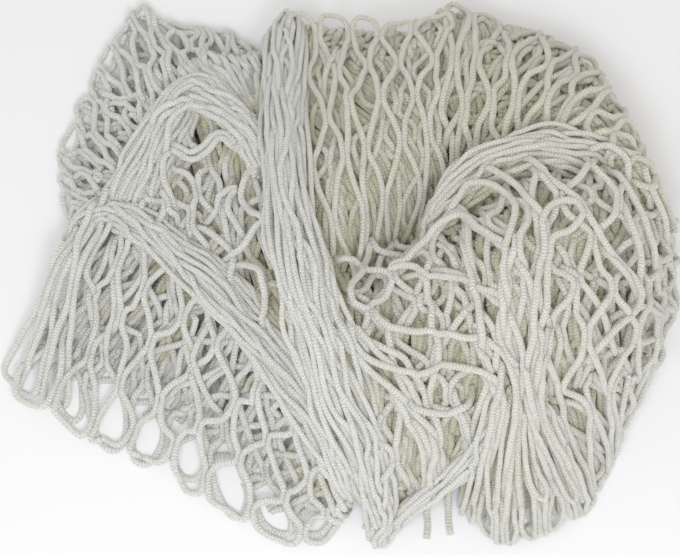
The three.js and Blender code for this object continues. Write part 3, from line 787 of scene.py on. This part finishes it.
# the two flat flaps on the left
leftFlaps = {
    "flat": (0.60, 0.59),
    "area": 0.128,
    "spreads": {
        "frontLeftFlap": [
            (-156, 20, 30, -197, -84, 9, -4), (-133, 14, 42, -168, -99, 9, -6),
            (-107, -11, 50, -136, -114, 9, -8), (-79, -42, 56, -104, -131, 9, -8),
            (-49, -74, 58, -68, -154, 9, -8), (-20, -111, 52, -29, -172, 9, -6),
            (7, -151, 34, -1, -165, 9, -2)],
        "backLeftFlap": [
            (-152, 24, 30, -170, 32, 9, 0), (-147, 37, 40, -171, 67, 9, -4),
            (-136, 54, 46, -168, 106, 9, -6), (-123, 79, 50, -155, 143, 9, -6),
            (-108, 101, 54, -136, 180, 10, -4), (-86, 107, 56, -101, 167, 12, -2),
            (-64, 89, 64, -73, 161, 14, 0), (-47, 68, 72, -53, 145, 22, 2),
            (-30, 60, 76, -30, 150, 28, 2)],
        "backSheet": [
            (-94, 106, 58, -50, 36, 72, 2), (-82, 116, 52, -49, 58, 66, 2), (-70, 126, 44, -47, 80, 60, 2),
            (-56, 134, 38, -45, 104, 52, 2)],
    },
    "nets": [
        {"on": "frontLeftFlap", "cords": 16, "seed": 101, "jitter": 2.2, "bar": 26, "loopReach": 19},
        {"on": "frontLeftFlap", "cords": 16, "seed": 102, "depth": 6, "end": 0.92, "skew": 0.2,
         "jitter": 2.4, "bar": 25, "loopReach": 17},
        {"on": "frontLeftFlap", "cords": 22, "seed": 143, "depth": 10, "end": 0.8, "skew": -0.3,
         "looped": False, "jitter": 2.4, "bar": 22},
        {"on": "frontLeftFlap", "cords": 46, "seed": 108, "depth": 13, "end": 0.66, "skew": -0.1,
         "looped": False},
        {"on": "backLeftFlap", "cords": 34, "seed": 103, "bar": 24, "jitter": 1.6, "sink": 14},
        {"on": "backLeftFlap", "cords": 34, "seed": 104, "depth": 5, "end": 0.97, "skew": -0.12,
         "sink": 14},
        {"on": "backLeftFlap", "cords": 56, "seed": 109, "depth": 8, "end": 0.8, "skew": 0.1,
         "looped": False, "sink": 14},
        {"on": "backSheet", "cords": 14, "seed": 110, "looped": False, "jitter": 0.5, "bow": 0.5},
    ],
}
layPiece("leftFlaps", leftFlaps)

# the hollow between the arches and the bundle
innerMeshes = {
    "flat": (0.40, 0.38),
    "area": 0.055,
    "paintedShadeOffset": 1.0,
    "spreads": {
        "innerLeft": [
            (-140, 44, 38, -134, 4, 40, -4), (-117, 75, 46, -108, -2, 52, -4),
            (-86, 94, 56, -73, -38, 62, -6), (-64, 78, 66, -45, -73, 72, -6),
            (-43, 43, 82, -10, -108, 84, -2)],
    },
    "nets": [
        {"on": "innerLeft", "cords": 14, "seed": 105, "looped": False, "start": 0.0, "end": 0.88,
         "depth": 1, "skew": 0.15, "jitter": 2.4, "bar": 19},
        {"on": "innerLeft", "cords": 14, "seed": 106, "looped": False, "end": 0.92, "depth": 5,
         "skew": -0.4, "jitter": 2.4, "bar": 19},
        {"on": "innerLeft", "cords": 38, "seed": 107, "looped": False, "depth": 9, "skew": 0.1},
    ],
}
layPiece("innerMeshes", innerMeshes)

# the netting that hangs down to the back
curtain = {
    "flat": (0.60, 0.51),
    "area": 0.111,
    "paintedShadeOffset": 4.5,
    "spreads": {
        "curtain": [
            (-28, -30, 92, -38, 162, 30, 10), (-1, -22, 92, -16, 161, 34, 18),
            (13, -14, 80, 3, 158, 34, 24), (28, -1, 68, 26, 155, 34, 32),
            (43, 7, 60, 46, 154, 34, 36), (57, 14, 58, 70, 158, 36, 36)],
    },
    "nets": [
        {"on": "curtain", "cords": 10, "seed": 111, "loopReach": 19, "jitter": 2.3, "bow": 1.2,
         "wave": 0.6, "bar": 30, "end": 0.94, "girth": 0.9, "ease": 0.2, "curl": 13},
        {"on": "curtain", "cords": 10, "seed": 120, "depth": 5, "skew": 0.12, "jitter": 2.3, "bow": 1.2,
         "end": 0.95, "bar": 25, "girth": 0.9, "brim": -4},
        {"on": "curtain", "cords": 10, "seed": 154, "start": 0.7, "end": 1.17, "depth": 3, "brim": -3},
        {"on": "curtain", "cords": 34, "seed": 112, "looped": False, "depth": 9, "skew": -0.9,
         "jitter": 0.8, "bow": 0.6, "end": 0.98},
        {"on": "curtain", "cords": 36, "seed": 113, "looped": False, "depth": 14, "skew": 0.2,
         "end": 1.2, "rim": True, "brim": -5},
    ],
}
layPiece("curtain", curtain)

# the fold at the back right
backLobe = {
    "flat": (0.60, 0.71),
    "area": 0.153,
    "paintedShadeOffset": 5.5,
    "spreads": {
        "backLobe": [
            (56, 17, 58, 66, 165, 38, 34), (77, 25, 68, 102, 155, 40, 34),
            (101, 35, 76, 139, 136, 42, 34), (123, 34, 86, 168, 102, 44, 30),
            (146, 27, 92, 189, 55, 44, 26), (169, 12, 90, 201, 12, 42, 22)],
    },
    "nets": [
        {"on": "backLobe", "cords": 18, "seed": 114, "end": 0.97, "loopReach": 16, "brim": 4},
        {"on": "backLobe", "cords": 18, "seed": 115, "depth": 6, "skew": 0.3, "end": 0.97, "rim": True,
         "brim": -4},
        {"on": "backLobe", "cords": 18, "seed": 153, "start": 0.6, "end": 1.38, "depth": 3, "brim": -3},
        {"on": "backLobe", "cords": 14, "seed": 118, "depth": 10, "looped": False, "turned": True,
         "start": 0, "end": 1},
        {"on": "backLobe", "cords": 50, "seed": 116, "depth": 14, "skew": -0.2, "looped": False,
         "end": 1.4, "rim": True, "brim": -5},
        {"on": "backLobe", "cords": 50, "seed": 119, "depth": 19, "skew": 0.2, "looped": False,
         "end": 1.4, "rim": True, "brim": -5},
    ],
}
layPiece("backLobe", backLobe)

# the big fold at the front right, with its crest
frontLobe = {
    "flat": (0.60, 0.56),
    "area": 0.121,
    "paintedShadeOffset": 3.2,
    "bands": [
        {"thick": 14, "across": 8, "deep": 3, "seed": 18, "drift": 3.4, "end": 0.9, "sinks": (6, 28),
         "point": (0.4, 0.4), "rows": [
            (50, -16, 84, 12), (60, 2, 96, 16), (78, 20, 106, 24), (103, 31, 112, 28), (129, 33, 112, 30),
            (154, 30, 101, 28), (176, 20, 84, 24), (192, 2, 62, 18)]},
    ],
    "spreads": {
        "frontLobe": [
            (59, -3, 92, 88, -100, 96, 16), (78, 10, 100, 95, -103, 94, 26),
            (104, 24, 108, 106, -107, 92, 30), (130, 29, 108, 123, -106, 90, 30),
            (157, 29, 98, 148, -101, 74, 32), (181, 24, 74, 175, -85, 46, 30),
            (200, 2, 44, 191, -55, 40, 10)],
    },
    "nets": [
        {"on": "frontLobe", "cords": 12, "seed": 121, "looped": False, "end": 1.02, "jitter": 2.4,
         "bar": 25},
        {"on": "frontLobe", "cords": 13, "seed": 122, "depth": 6, "skew": 0.35, "looped": False,
         "jitter": 2.4, "bar": 23},
        {"on": "frontLobe", "cords": 22, "seed": 123, "depth": 9, "skew": -0.4, "looped": False,
         "jitter": 2.4, "bar": 21},
        {"on": "frontLobe", "cords": 48, "seed": 127, "depth": 13, "skew": 0.2, "looped": False},
    ],
}
layPiece("frontLobe", frontLobe)

# the fold in the middle of the front
centreLobe = {
    "flat": (0.45, 0.51),
    "area": 0.083,
    "paintedShadeOffset": 2.6,
    "spreads": {
        "centreLobe": [
            (0, -38, 100, 22, -152, 40, 25), (18, -26, 88, 33, -156, 36, 30),
            (38, -16, 86, 49, -153, 38, 34), (53, -8, 88, 64, -149, 44, 34),
            (66, -21, 98, 78, -137, 58, 26), (78, -62, 108, 87, -119, 84, 8)],
    },
    "nets": [
        {"on": "centreLobe", "cords": 7, "seed": 126, "looped": False, "depth": 1, "skew": 0.1,
         "jitter": 2.2, "bar": 20},
        {"on": "centreLobe", "cords": 8, "seed": 142, "looped": False, "depth": 6, "skew": -0.2,
         "jitter": 2.2, "bar": 20},
        {"on": "centreLobe", "cords": 26, "seed": 130, "looped": False, "depth": 10, "skew": -0.25,
         "jitter": 1.6, "bow": 1, "end": 1.15},
        {"on": "centreLobe", "cords": 28, "seed": 128, "looped": False, "depth": 13, "skew": 0.2,
         "end": 1.2},
    ],
}
layPiece("centreLobe", centreLobe)

# the long loops at the front, and the short wall to their right
frontLoops = {
    "flat": (0.40, 0.53),
    "area": 0.076,
    "paintedShadeOffset": 2.6,
    "spreads": {
        "frontTassel": [
            (85, -105, 88, 72, -155, 9, 6), (88, -102, 90, 83, -165, 9, 6),
            (93, -101, 92, 95, -173, 9, 6), (97, -101, 92, 106, -173, 9, 6),
            (100, -103, 92, 120, -168, 9, 6), (105, -104, 90, 134, -160, 9, 6),
            (110, -106, 88, 144, -151, 9, 6)],
        "rightSkirt": [
            (109, -106, 88, 139, -153, 9, 4), (127, -100, 82, 152, -138, 9, 6),
            (149, -90, 70, 161, -121, 9, 8), (167, -76, 56, 169, -104, 9, 8),
            (182, -56, 44, 180, -84, 10, 6), (192, -35, 40, 191, -57, 12, 4)],
        "sideWall": [
            (198, 20, 45, 203, 22, 4, 2), (199, 2, 44, 204, 2, 4, 2), (196, -20, 43, 202, -21, 4, 2),
            (192, -40, 41, 198, -43, 4, 2), (186, -58, 38, 191, -64, 4, 2)],
    },
    "nets": [
        {"on": "frontTassel", "cords": 24, "seed": 131, "jitter": 1.2, "bar": 40, "groups": 3,
         "girth": 0.85},
        {"on": "frontTassel", "cords": 18, "seed": 132, "depth": 6, "jitter": 1.2, "end": 0.97, "bar": 40,
         "girth": 0.85},
        {"on": "frontTassel", "cords": 24, "seed": 135, "depth": 11, "jitter": 1.2, "end": 0.85,
         "looped": False},
        {"on": "rightSkirt", "cords": 12, "seed": 133, "brim": 5},
        {"on": "rightSkirt", "cords": 12, "seed": 134, "depth": 5, "end": 0.98, "skew": 0.3, "rim": True,
         "brim": -3},
        {"on": "rightSkirt", "cords": 36, "seed": 136, "depth": 9, "looped": False, "rim": True},
        {"on": "sideWall", "cords": 10, "seed": 151, "start": -0.4, "bar": 22},
        {"on": "sideWall", "cords": 22, "seed": 152, "start": -0.3, "depth": 5, "looped": False, "bar": 22},
    ],
}
layPiece("frontLoops", frontLoops)

# the netting that lies on the floor below the heap
underside = {
    "flat": (0.35, 0.28),
    "area": 0.035,
    "spreads": {
        "underside": [
            (-128, 8, 2, -138, 120, 2, 0), (-90, -60, 2, -90, 138, 2, 0), (-40, -118, 2, -40, 142, 2, 0),
            (20, -134, 2, 20, 146, 2, 0), (80, -132, 2, 80, 140, 2, 0), (130, -118, 2, 130, 110, 2, 0),
            (164, -80, 2, 164, 60, 2, 0)],
    },
    "nets": [
        {"on": "underside", "cords": 26, "seed": 141, "looped": False, "start": 0, "end": 1, "sink": 0,
         "wave": 0},
    ],
}
layPiece("underside", underside)

# Single cords that lie over the layers, each given by x and y from one end to the other. Dip is how far
# their ends go down.
singleCords = [
    # the lit top of the front fold
    {"piece": "frontLobe", "routes": [
        [(50, -16), (60, -7), (66, 0), (71, 9), (77, 12), (86, 8), (94, -2), (99, -11), (97, -22),
         (94, -34), (92, -40), (91, -55), (92, -73), (94, -88), (98, -100), (99, -113), (100, -128),
         (102, -144), (104, -157), (107, -166)],
        [(48, -24), (58, -12), (65, -4), (69, -8), (73, -16), (81, -25), (88, -34), (93, -41), (98, -50),
         (104, -58), (107, -69), (106, -79), (107, -89), (104, -99), (105, -112), (110, -126),
         (117, -139), (124, -149), (130, -155)],
        [(80, 28), (86, 20), (92, 13), (100, 2), (105, -10), (111, -19), (114, -26), (114, -34),
         (111, -48), (107, -60), (108, -67), (112, -73), (117, -82), (114, -92), (110, -104), (114, -117),
         (122, -128), (131, -138), (139, -148), (143, -153)],
        [(94, -168), (96, -158), (97, -144), (98, -130), (99, -116), (101, -102), (107, -88), (106, -72),
         (109, -52), (113, -38), (112, -26), (116, -17), (124, -11), (133, -13), (135, -22), (129, -30),
         (119, -33), (114, -41), (113, -54), (113, -72), (109, -88), (104, -104)],
        [(48, -4), (58, 2), (66, 1), (71, -9), (72, -20), (72, -30), (73, -45), (76, -57), (77, -69),
         (77, -81), (83, -92), (90, -101), (88, -113), (84, -128), (80, -143), (77, -156)],
        [(50, -38), (63, -46), (71, -50), (76, -57), (84, -64), (91, -71), (95, -79), (101, -90),
         (103, -103), (106, -116), (112, -130), (119, -143), (125, -152)],
        [(108, 30), (112, 18), (116, 8), (121, 2), (128, -5), (134, -11), (139, -21), (145, -29),
         (151, -36), (158, -43), (166, -47), (171, -54), (168, -62), (160, -71), (150, -80), (138, -92)]]},
    # its right side
    {"piece": "frontLobe", "dip": 14, "routes": [
        [(166, 34), (177, 25), (185, 13), (190, 4), (193, -5), (195, -14)],
        [(155, 10), (160, -6), (167, -22), (170, -36), (169, -48), (164, -58)],
        [(115, -41), (128, -52), (141, -64), (152, -75), (157, -84)],
        [(138, -26), (145, -33), (153, -40), (162, -47), (169, -53), (176, -58)],
        [(154, -66), (167, -60), (179, -54), (189, -50)],
        [(150, -84), (157, -80), (165, -79), (177, -72), (186, -62)],
        [(133, 29), (144, 34), (155, 36), (162, 32), (166, 26), (165, 16), (159, 6)],
        [(150, 28), (158, 19), (164, 8), (171, -2), (177, -14), (183, -26), (186, -38)]]},
    # the fold in the middle of the front
    {"piece": "centreLobe", "dip": 15, "routes": [
        [(30, -40), (38, -41), (45, -43), (49, -49), (49, -56), (50, -65), (51, -74), (55, -83),
         (55, -92), (53, -101), (50, -111), (51, -117), (55, -126)],
        [(17, -61), (24, -69), (27, -75), (27, -83), (29, -92), (33, -101), (37, -109), (43, -116),
         (50, -126)],
        [(92, -40), (90, -45), (90, -59), (91, -72), (92, -81), (94, -90), (99, -98)],
        [(60, -92), (60, -98), (64, -112), (68, -118), (73, -125), (75, -135), (76, -146)],
        [(74, -50), (76, -60), (74, -66), (68, -71), (62, -77), (56, -84), (54, -94)],
        [(50, -10), (55, -20), (63, -35), (68, -44), (73, -54)],
        [(-5, -66), (3, -72), (11, -79), (20, -88), (28, -93), (38, -103), (45, -116), (51, -134),
         (54, -149)],
        [(7, -73), (15, -81), (25, -87), (36, -90), (39, -95), (46, -110), (53, -121), (58, -135),
         (62, -148)],
        [(39, -108), (49, -113), (57, -117), (67, -117), (72, -126), (74, -135), (70, -146)],
        [(18, -88), (22, -97), (28, -105), (35, -114), (42, -126), (49, -140), (52, -151)],
        [(29, -111), (37, -118), (46, -127), (54, -138), (57, -150)],
        [(45, -110), (48, -120), (52, -132), (53, -143), (55, -153)]]},
    # the long arcs across it
    {"piece": "centreLobe", "dip": 15, "routes": [
        [(97, -82), (92, -70), (86, -63), (78, -60), (72, -52), (65, -50), (57, -48), (48, -42),
         (42, -38), (35, -38), (28, -40), (32, -36), (38, -34), (42, -29), (47, -23), (51, -18),
         (56, -13), (63, -8), (70, -9), (73, -16), (81, -25), (88, -34), (94, -42), (99, -54)],
        [(12, -53), (18, -63), (22, -71), (28, -75), (34, -76), (43, -78), (52, -78), (59, -79),
         (69, -84), (78, -84), (86, -89), (93, -93), (97, -102), (98, -114), (97, -129), (95, -145),
         (93, -160)],
        [(6, -59), (6, -74), (7, -85), (13, -92), (23, -95), (34, -98), (47, -100), (59, -97), (72, -100),
         (82, -101), (89, -107), (90, -119), (87, -134), (83, -149), (80, -160)],
        [(-4, -61), (-2, -73), (2, -84), (8, -92), (15, -98), (26, -104), (34, -112), (40, -117),
         (48, -124), (56, -134), (60, -146)],
        [(29, -103), (38, -115), (48, -119), (57, -119), (66, -117), (72, -113), (76, -101)],
        [(70, -14), (71, -29), (72, -42), (74, -53), (77, -62), (77, -72), (78, -84), (79, -92),
         (83, -100), (90, -108)]]},
    # two double strands in the hollow on the left
    {"piece": "innerMeshes", "strands": 2, "routes": [
        [(-110, 67), (-107, 63), (-98, 58), (-91, 53), (-82, 56), (-74, 63), (-65, 58), (-57, 56)],
        [(-115, 66), (-112, 76), (-104, 84), (-93, 87), (-81, 81), (-71, 73), (-61, 62), (-51, 49)]]},
    # the others in the hollow
    {"piece": "innerMeshes", "routes": [
        [(-110, 50), (-106, 60), (-105, 69), (-101, 78), (-92, 85), (-82, 82), (-73, 76), (-62, 67),
         (-53, 57), (-46, 44)],
        [(-104, 67), (-107, 61), (-108, 50), (-107, 40), (-103, 31), (-98, 20)],
        [(-80, 10), (-73, 18), (-71, 25), (-65, 30), (-62, 28), (-66, 23), (-67, 16), (-64, 10),
         (-57, -4), (-50, -14)],
        [(-50, 40), (-56, 31), (-59, 22), (-57, 15), (-52, 6), (-44, -6), (-38, -16)],
        [(-90, 12), (-80, 4), (-72, -5), (-66, -11), (-62, -22), (-65, -28), (-65, -38)],
        [(-72, -18), (-63, -17), (-57, -14), (-50, -7), (-46, -5), (-38, 0)],
        [(-68, -20), (-61, -23), (-54, -27), (-46, -35), (-44, -42), (-42, -53), (-44, -61), (-40, -72)]]},
    # the long loops at the front
    {"piece": "frontLoops", "dip": 13, "girth": 0.8, "routes": [
        [(87, -98), (84, -109), (80, -122), (77, -136), (74, -149), (72, -157), (70, -160)],
        [(92, -99), (89, -112), (86, -126), (84, -140), (84, -153), (86, -163), (89, -163), (90, -153),
         (91, -140), (92, -127), (94, -113), (96, -101)],
        [(103, -98), (107, -110), (114, -122), (122, -133), (130, -143), (137, -151), (136, -157),
         (129, -151), (121, -141), (113, -130), (106, -118), (101, -106), (100, -98)],
        [(101, -100), (104, -112), (107, -124), (110, -135), (114, -144), (119, -152), (117, -159),
         (111, -154), (107, -143), (104, -130), (101, -117), (99, -104)]]},
]
for cords in singleCords:
    layOver(**cords)

# two cut ends of the panel's cord, each with its heights
cutEnds = [
    [(58, -138, 24), (54, -145, 17), (52, -150, 9), (51, -156, 4), (52, -163, 2), (51, -171, 2)],
    [(72, -134, 30), (66, -141, 20), (64, -147, 10), (64, -153, 4), (64, -161, 2), (65, -169, 2)],
]
for rows in cutEnds:
    lay("frontLoops", smoothRows(rows, np.linspace(0, 1, 16))[None])
print("single cords and cut ends laid")

points, normals, linked, girth, single, owner = (
    np.concatenate(laid[part]) for part in ("points", "normals", "linked", "girth", "single", "piece"))
linked[-1] = False
joined = np.concatenate(laid["joined"] + [findCrossings(points, linked, single)])
points = settle(points, linked, joined, girth)
deep = depthInHeap(points)

netMaterial = makeKnittedPolyester()
for number, (name, about) in enumerate(pieces.items()):
    mine = owner == number
    # painted shade: each point's depth in the heap, plus its piece's offset
    paintedShadeDepth = np.maximum(deep[mine], 0) + about.get("paintedShadeOffset", 0)
    piece = tubeMesh(name, points[mine], normals[mine], linked[mine], paintedShadeDepth, girth[mine],
                     cord["tubeSeed"] + number)
    piece.data.materials.append(netMaterial)
    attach(piece, "root")
    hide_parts("netting_panel")

# lengths in metres, powers in watts
studio = {
    "floor": "#f8f8fc",  # pale matt paint
    "floorRoughness": 0.9,
    "floorReach": 3,
    "air": "#fdfbf4",
    "airStrength": 0.57,
    "boxSize": 0.25,
    "aim": (0, -0.02, 0.04),
    "softboxes": {
        "keySoftbox": {"place": (0.08, -0.64, 0.86), "power": 3.6, "colour": (1.0, 0.995, 1.0)},
        "fillSoftbox": {"place": (-0.18, -0.45, 0.97), "power": 2.4, "colour": (0.94, 0.96, 1.0)},
    },
}

reach = studio["floorReach"]
floorMesh = bpy.data.meshes.new("floor")
floorMesh.from_pydata([(-reach, -reach, 0), (reach, -reach, 0), (reach, reach, 0), (-reach, reach, 0)],
                      [], [(0, 1, 2, 3)])
floor = bpy.data.objects.new("floor", floorMesh)
bpy.context.scene.collection.objects.link(floor)
floorPaint = bpy.data.materials.new("paleMattPaint")
floorPaint.use_nodes = True
floorShader = floorPaint.node_tree.nodes["Principled BSDF"].inputs
floorShader["Base Color"].default_value = hexColour(studio["floor"])
floorShader["Roughness"].default_value = studio["floorRoughness"]
floorMesh.materials.append(floorPaint)

world = bpy.data.worlds.new("studio")
bpy.context.scene.world = world
world.use_nodes = True
world.node_tree.nodes["Background"].inputs["Color"].default_value = hexColour(studio["air"])
world.node_tree.nodes["Background"].inputs["Strength"].default_value = studio["airStrength"]


# a square softbox, turned so that it looks from its place to the aim
def addSoftbox(name, place, power, colour):
    lamp = bpy.data.lights.new(name, "AREA")
    lamp.shape = "RECTANGLE"
    lamp.size = lamp.size_y = studio["boxSize"]
    lamp.energy = power
    lamp.color = colour
    box = bpy.data.objects.new(name, lamp)
    box.location = place
    aim = np.array(studio["aim"], float) - np.array(place, float)
    box.rotation_euler = (math.atan2(math.hypot(aim[0], aim[1]), -aim[2]), 0, math.atan2(-aim[0], aim[1]))
    bpy.context.scene.collection.objects.link(box)


for name, about in studio["softboxes"].items():
    addSoftbox(name, **about)

# elevation in degrees above the floor, distance and target in metres, lens and sensor in millimetres
view = {"elevation": 68, "distance": 1.133, "target": (0, -0.021, 0.040), "lens": 100, "sensor": 36,
        "gamma": 1.5}
camera = bpy.data.objects.new("camera", bpy.data.cameras.new("camera"))
bpy.context.scene.collection.objects.link(camera)
bpy.context.scene.camera = camera
camera.data.lens = view["lens"]
camera.data.sensor_width = view["sensor"]
lift = math.radians(view["elevation"])
camera.location = (view["target"][0], view["target"][1] - view["distance"] * math.cos(lift),
                   view["target"][2] + view["distance"] * math.sin(lift))
camera.rotation_euler = (math.pi / 2 - lift, 0, 0)
bpy.context.scene.view_settings.view_transform = "Standard"
bpy.context.scene.view_settings.gamma = view["gamma"]
print("floor, air, softboxes and camera set")
